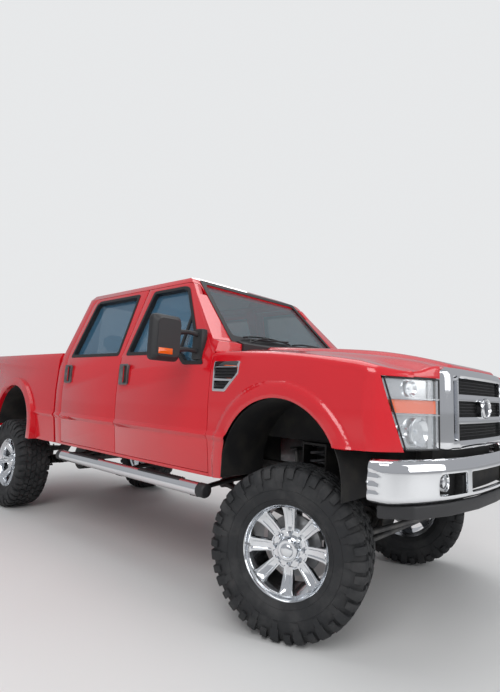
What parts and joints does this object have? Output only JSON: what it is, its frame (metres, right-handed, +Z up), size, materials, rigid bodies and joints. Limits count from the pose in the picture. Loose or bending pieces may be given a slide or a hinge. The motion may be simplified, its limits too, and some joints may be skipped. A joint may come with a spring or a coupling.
{
  "type": "lifted off-road 4x4",
  "caption": "Red crew-cab pickup on raised off-road suspension, with chrome front end, opening doors, hood and tailgate, steering and rolling wheels.",
  "frame": {"origin": "on the ground under the middle of the bounding box", "axes": "+X forward along the truck, +Y to its left, +Z up"},
  "size_m": [6.269, 2.76, 2.36],
  "materials": {
    "paint": "glossy",
    "chrome": "polished",
    "black_plastic": "matt",
    "black_steel": "satin",
    "bare_steel": "matt",
    "alloy": "polished",
    "tyre": "matt",
    "glass": "clear",
    "lamp": "clear",
    "red_lamp": "clear",
    "cloth": "matt",
    "aluminium": "satin"
  },
  "bodies": {
    "chassis": {"frame": "black_steel", "cab": "paint", "cab_glass": "glass", "cowl": "black_plastic", "dashboard": "black_plastic", "seats": "cloth", "front_fenders": "paint", "wheel_liners": "black_plastic", "grille": "chrome", "headlights": "lamp", "front_bumper": "chrome", "bumper_valance": "black_plastic", "radiator": "black_steel", "engine": "bare_steel", "bed": "paint", "rear_bumper": "chrome", "taillights": "red_lamp", "step_bars": "chrome", "front_axle": "bare_steel", "rear_axle": "bare_steel", "coil_springs": "black_steel", "radius_arms": "black_steel", "shocks": "aluminium", "leaf_springs": "black_steel", "gearbox": "aluminium", "driveshafts": "black_steel", "exhaust": "aluminium", "fuel_tank": "black_plastic"},
    "hood": {"hood": "paint"},
    "tailgate": {"tailgate": "paint"},
    "right_front_door": {"right_front_door": "paint", "right_front_glass": "glass", "right_mirror": "black_plastic"},
    "left_front_door": {"left_front_door": "paint", "left_front_glass": "glass", "left_mirror": "black_plastic"},
    "right_rear_door": {"right_rear_door": "paint", "right_rear_glass": "glass"},
    "left_rear_door": {"left_rear_door": "paint", "left_rear_glass": "glass"},
    "right_knuckle": {"right_knuckle": "bare_steel"},
    "left_knuckle": {"left_knuckle": "bare_steel"},
    "tie_rods": {"tie_rods": "black_steel"},
    "pitman_arm": {"pitman_arm": "black_steel"},
    "right_front_wheel": {"right_front_rim": "alloy", "right_front_tyre": "tyre"},
    "left_front_wheel": {"left_front_rim": "alloy", "left_front_tyre": "tyre"},
    "right_rear_wheel": {"right_rear_rim": "alloy", "right_rear_tyre": "tyre"},
    "left_rear_wheel": {"left_rear_rim": "alloy", "left_rear_tyre": "tyre"}
  },
  "joints": [
    {"name": "right_steer", "type": "hinge", "parent": "chassis", "child": "right_knuckle", "pos_m": [2.1695, -0.74, 0.475], "axis": [0, 0, 1], "range_deg": [-51, 13]},
    {"name": "left_steer", "type": "hinge", "parent": "chassis", "child": "left_knuckle", "pos_m": [2.1695, 0.74, 0.475], "axis": [0, 0, 1], "range_deg": [-51, 13]},
    {"name": "tie_rod_swing", "type": "hinge", "parent": "right_knuckle", "child": "tie_rods", "pos_m": [2.33969, -0.6814, 0.435], "axis": [0, 0, 1], "range_deg": [-13, 51]},
    {"name": "pitman_swing", "type": "hinge", "parent": "chassis", "child": "pitman_arm", "pos_m": [2.4995, 0.42, 0.61], "axis": [0, 0, 1], "range_deg": [-51, 13]},
    {"name": "right_front_spin", "type": "hinge", "parent": "right_knuckle", "child": "right_front_wheel", "pos_m": [2.21182, -0.86292, 0.475], "axis": [-0.3256, 0.9455, 0], "continuous": true},
    {"name": "left_front_spin", "type": "hinge", "parent": "left_knuckle", "child": "left_front_wheel", "pos_m": [2.12718, 0.86292, 0.475], "axis": [-0.3256, 0.9455, 0], "continuous": true},
    {"name": "right_rear_spin", "type": "hinge", "parent": "chassis", "child": "right_rear_wheel", "pos_m": [-1.7975, -0.87, 0.475], "axis": [0, 1, 0], "continuous": true},
    {"name": "left_rear_spin", "type": "hinge", "parent": "chassis", "child": "left_rear_wheel", "pos_m": [-1.7975, 0.87, 0.475], "axis": [0, 1, 0], "continuous": true},
    {"name": "right_front_door_swing", "type": "hinge", "parent": "chassis", "child": "right_front_door", "pos_m": [1.5295, -1, 1.1], "axis": [0, 0, 1], "range_deg": [0, 65]},
    {"name": "left_front_door_swing", "type": "hinge", "parent": "chassis", "child": "left_front_door", "pos_m": [1.5295, 1, 1.1], "axis": [0, 0, 1], "range_deg": [-65, 0]},
    {"name": "right_rear_door_swing", "type": "hinge", "parent": "chassis", "child": "right_rear_door", "pos_m": [0.3395, -1, 1.1], "axis": [0, 0, 1], "range_deg": [0, 65]},
    {"name": "left_rear_door_swing", "type": "hinge", "parent": "chassis", "child": "left_rear_door", "pos_m": [0.3395, 1, 1.1], "axis": [0, 0, 1], "range_deg": [-65, 0]},
    {"name": "hood_swing", "type": "hinge", "parent": "chassis", "child": "hood", "pos_m": [1.5705, 0, 1.735], "axis": [0, -1, 0], "range_deg": [0, 48]},
    {"name": "tailgate_swing", "type": "hinge", "parent": "chassis", "child": "tailgate", "pos_m": [-2.9885, 0, 1.178], "axis": [0, -1, 0], "range_deg": [0, 90]}
  ],
  "couplings": [
    {"joint": "left_steer", "follows": "right_steer", "ratio": 1},
    {"joint": "tie_rod_swing", "follows": "right_steer", "ratio": -1},
    {"joint": "pitman_swing", "follows": "right_steer", "ratio": 1}
  ]
}
